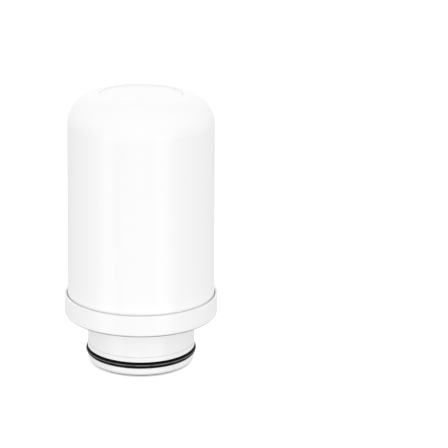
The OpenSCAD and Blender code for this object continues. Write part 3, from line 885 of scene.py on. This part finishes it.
# Painted shade: the collar's foot and the lip's lower edge are greyed in the base colour.
painted_edge_shade(cap_white, NECK_HEIGHT, foot_edge_r, COLLAR_SHADE, COLLAR_SHADE_DEPTH)
painted_edge_shade(cap_white, 0.0, NECK_RADIUS - LIP_EDGE, LIP_SHADE, LIP_SHADE_DEPTH)
finished("cap_moulding", cap_mesh, cap_white, "cartridge", "base_cap", round_width=CAP_EDGE_BREAK)

# ---------------------------------------------------------------------------
# Strainer: a disc of thin stainless sheet with etched holes over the windows. A
# moulded retainer presses it on the cap's floor.
STEEL_DARK, STEEL_BRIGHT = (0.50, 0.50, 0.52, 1.0), (0.68, 0.68, 0.70, 1.0)
STEEL_RELIEF = 4e-6
SHEET_ROUGHNESS = 0.32
SHEET_MARKS = (0.05, 1.0, 1.0)
RETAINER_COLOUR = (0.84, 0.85, 0.84, 1.0)


def stainless(name, roughness, stretch=(1.0, 1.0, 1.0)):
    """Bright stainless steel with drawing marks."""
    made, nodes, links, shader = shader_tree(name)
    marks = object_pattern(nodes, links, "ShaderNodeTexNoise", stretch, Scale=1800.0, Detail=5.0)
    links.new(
        mixed(nodes, links, marks.outputs["Fac"], STEEL_DARK, STEEL_BRIGHT), shader.inputs["Base Color"],
    )
    links.new(
        between(nodes, links, marks.outputs["Fac"], roughness * 0.7, roughness * 1.3, NOISE_LOW, NOISE_HIGH),
        shader.inputs["Roughness"],
    )
    raised(nodes, links, shader, marks.outputs["Fac"], STEEL_RELIEF)
    shader.inputs["Metallic"].default_value = 1.0
    return made


natural_white = natural_plastic("natural_white", RETAINER_COLOUR)
keep_node("inlet_strainer", stainless("etched_stainless", SHEET_ROUGHNESS, SHEET_MARKS))
keep_node("strainer_retainer", natural_white)

# ---------------------------------------------------------------------------
# Anti-drip valve: a moulded poppet slides in its guide. A stainless spring
# presses its seal on the seat until the head's outlet pin pushes it down.
WIRE_SIDES = 12
STEPS_PER_TURN = 48
SPRING_TURNS = 4.5
END_TURN_SHARE = 0.12
END_RISE_SHARE = 0.06
WIRE_RADIUS = 0.0002
COIL_RADIUS = 0.0027
WIRE_ROUGHNESS = 0.22

for node in ("valve_guide", "valve_poppet", "valve_seat"):
    keep_node(node, natural_white)

spring_low, spring_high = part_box("valve_spring")
spring_rise = spring_high.z - spring_low.z - 2 * WIRE_RADIUS
wire_start = Matrix.Translation((COIL_RADIUS, 0.0, spring_low.z + WIRE_RADIUS))
spring_mesh = bmesh.new()
ring = bmesh.ops.create_circle(
    spring_mesh, segments=WIRE_SIDES, radius=WIRE_RADIUS,
    matrix=wire_start @ Matrix.Rotation(math.pi / 2, 4, "X"),
)["verts"]
section = ring + list({edge for vert in ring for edge in vert.link_edges})
bmesh.ops.contextual_create(spring_mesh, geom=section[WIRE_SIDES:])
for turns_share, rise_share in (
    (END_TURN_SHARE, END_RISE_SHARE),
    (1.0 - 2 * END_TURN_SHARE, 1.0 - 2 * END_RISE_SHARE),
    (END_TURN_SHARE, END_RISE_SHARE),
):
    steps = round(STEPS_PER_TURN * SPRING_TURNS * turns_share)
    section = bmesh.ops.spin(
        spring_mesh, geom=section, cent=(0.0, 0.0, 0.0), axis=(0.0, 0.0, 1.0),
        dvec=(0.0, 0.0, spring_rise * rise_share / steps),
        angle=math.tau * SPRING_TURNS * turns_share, steps=steps, use_merge=False, use_duplicate=False,
    )["geom_last"]
bmesh.ops.contextual_create(spring_mesh, geom=[e for e in section if isinstance(e, bmesh.types.BMEdge)])
bmesh.ops.recalc_face_normals(spring_mesh, faces=spring_mesh.faces)
spring_wire = stainless("spring_wire", WIRE_ROUGHNESS)
spring = finished("valve_coil", spring_mesh, spring_wire, "cartridge", "valve_spring")
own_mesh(spring)

# ---------------------------------------------------------------------------
# Neck seal: a black nitrile O-ring in the neck's groove. A grey line round its outside, a little above its
# middle, is a painted highlight.
RUBBER_BLACK = (0.0022, 0.0022, 0.0024, 1.0)
RUBBER_DUST = (0.0055, 0.0055, 0.006, 1.0)
# A painted highlight: a grey line round the ring's outside, broken in patches by the dust pattern.
HIGHLIGHT_GREY = (0.20, 0.20, 0.205, 1.0)
HIGHLIGHT_RISE = 0.00018
HIGHLIGHT_HALF = 0.00022
HIGHLIGHT_FADE = 0.00012
HIGHLIGHT_PATCH_START, HIGHLIGHT_PATCH_FULL, HIGHLIGHT_PATCH_LEAST = 0.35, 0.6, 0.6
RUBBER_SMOOTH, RUBBER_ROUGH = 0.38, 0.55
RUBBER_RELIEF = 4e-6
RUBBER_GLOSS = 0.03
SEAL_SIDES = 48


def rubber(name, highlight_z=None):
    """Black nitrile rubber, slightly dusty, with a painted highlight, a grey line at a height, if one is
    given.
    """
    made, nodes, links, shader = shader_tree(name)
    dust = object_pattern(nodes, links, "ShaderNodeTexNoise", Scale=500.0, Detail=6.0)
    skin = object_pattern(nodes, links, "ShaderNodeTexNoise", Scale=2600.0, Detail=4.0)
    colour = mixed(nodes, links, dust.outputs["Fac"], RUBBER_BLACK, RUBBER_DUST)
    if highlight_z is not None:
        # Painted highlight: a grey line round the ring at that height.
        offset = worked_out(nodes, links, "SUBTRACT", object_height(nodes, links), highlight_z)
        distance = nodes.new("ShaderNodeMath")
        distance.operation = "ABSOLUTE"
        links.new(offset, distance.inputs[0])
        away = distance.outputs["Value"]
        line = between(nodes, links, away, 1.0, 0.0, HIGHLIGHT_HALF - HIGHLIGHT_FADE, HIGHLIGHT_HALF)
        highlight_patches = between(nodes, links, dust.outputs["Fac"], HIGHLIGHT_PATCH_LEAST, 1.0, HIGHLIGHT_PATCH_START, HIGHLIGHT_PATCH_FULL)
        share = worked_out(nodes, links, "MULTIPLY", line, highlight_patches)
        colour = mixed(nodes, links, share, colour, HIGHLIGHT_GREY)
    links.new(colour, shader.inputs["Base Color"])
    links.new(
        between(nodes, links, dust.outputs["Fac"], RUBBER_SMOOTH, RUBBER_ROUGH, NOISE_LOW, NOISE_HIGH),
        shader.inputs["Roughness"],
    )
    raised(nodes, links, shader, skin.outputs["Fac"], RUBBER_RELIEF)
    shader.inputs["Specular IOR Level"].default_value = RUBBER_GLOSS
    return made


def seal_rings(name, node, cord, heights, material, sides, steps):
    """O-rings of round cord, one at each height, that stand for a CAD node."""
    low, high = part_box(node)
    ring_r = high.x - cord / 2
    rings = bmesh.new()
    for height in heights:
        start = bmesh.ops.create_circle(
            rings, segments=sides, radius=cord / 2,
            matrix=Matrix.Translation((ring_r, 0.0, height)) @ Matrix.Rotation(math.pi / 2, 4, "X"),
        )["verts"]
        edges = list({edge for vert in start for edge in vert.link_edges})
        bmesh.ops.spin(
            rings, geom=start + edges, cent=(0.0, 0.0, 0.0), axis=(0.0, 0.0, 1.0),
            angle=math.tau, steps=steps, use_merge=True, use_duplicate=False,
        )
    bmesh.ops.remove_doubles(rings, verts=rings.verts, dist=MERGE_DISTANCE)
    bmesh.ops.recalc_face_normals(rings, faces=rings.faces)
    finished(name, rings, material, body_of[node], node)


seal_low, seal_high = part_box("neck_seal_ring")
seal_cord = seal_high.z - seal_low.z
seal_z = (seal_high.z + seal_low.z) / 2
# The grey line on this rubber is a painted highlight, a little above the ring's middle.
painted_highlight_rubber = rubber("painted_highlight_rubber", seal_z + HIGHLIGHT_RISE)
seal_rings("neck_o_ring", "neck_seal_ring", seal_cord, [seal_z], painted_highlight_rubber, SEAL_SIDES, TURN_STEPS)

# ---------------------------------------------------------------------------
# Inner seals: small black O-rings on the spigot, round the valve seat and on
# the poppet, which carries its seal with it.
SPIGOT_SEAL_CORD = 0.0012
SEAT_SEAL_CORD = 0.001
POPPET_SEAL_CORD = 0.0012
SMALL_SEAL_SIDES = 24
SMALL_SEAL_STEPS = 96

plain_rubber = rubber("plain_rubber")
for name, node, cord in (
    ("spigot_o_rings", "spigot_seals", SPIGOT_SEAL_CORD),
    ("seat_o_ring", "valve_seat_seal", SEAT_SEAL_CORD),
    ("poppet_o_ring", "poppet_seal", POPPET_SEAL_CORD),
):
    low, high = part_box(node)
    heights = sorted({round(low.z + cord / 2, 6), round(high.z - cord / 2, 6)})
    seal_rings(name, node, cord, heights, plain_rubber, SMALL_SEAL_SIDES, SMALL_SEAL_STEPS)
